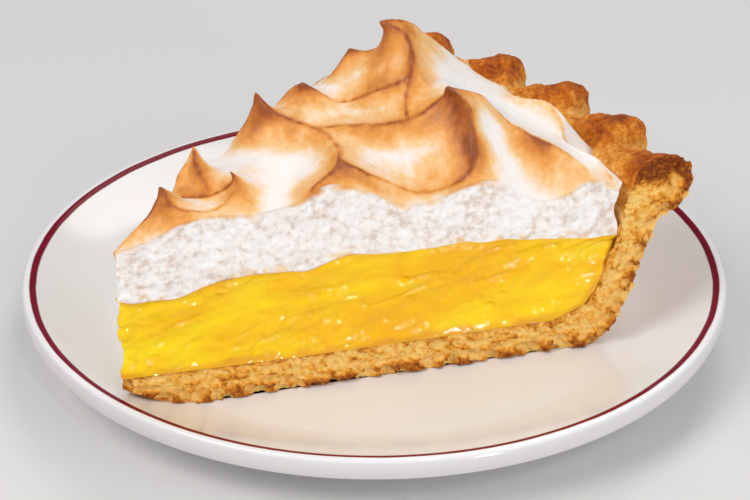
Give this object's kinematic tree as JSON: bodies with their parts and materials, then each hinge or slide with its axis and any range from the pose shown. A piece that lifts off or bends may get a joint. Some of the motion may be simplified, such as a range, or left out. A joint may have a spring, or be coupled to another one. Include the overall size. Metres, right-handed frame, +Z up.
{
  "type": "slice of lemon meringue pie on a plate",
  "caption": "Cut slice of lemon meringue pie with a fluted crust, lemon filling and toasted meringue peaks, on a small white plate with a burgundy line.",
  "frame": {"origin": "centre of the plate at table height, on the plane of the foot ring", "axes": "+Z up; +X along the slice's centre line from its point to its fluted rim; the cut that the picture shows faces -Y"},
  "size_m": [0.1586, 0.1586, 0.0775],
  "materials": {
    "glazed_china": "glossy warm white glaze with a thin burgundy line round the rim",
    "baked_crust": "matt, flaky and crumbly, golden with browner flute tops",
    "lemon_curd": "glossy translucent yellow gel",
    "toasted_meringue": "white foam with fine pores, toasted tan to dark brown on its crests"
  },
  "bodies": {
    "root": {"plate": "glazed_china", "crust": "baked_crust", "lemon_filling": "lemon_curd", "meringue": "toasted_meringue"}
  },
  "joints": []
}
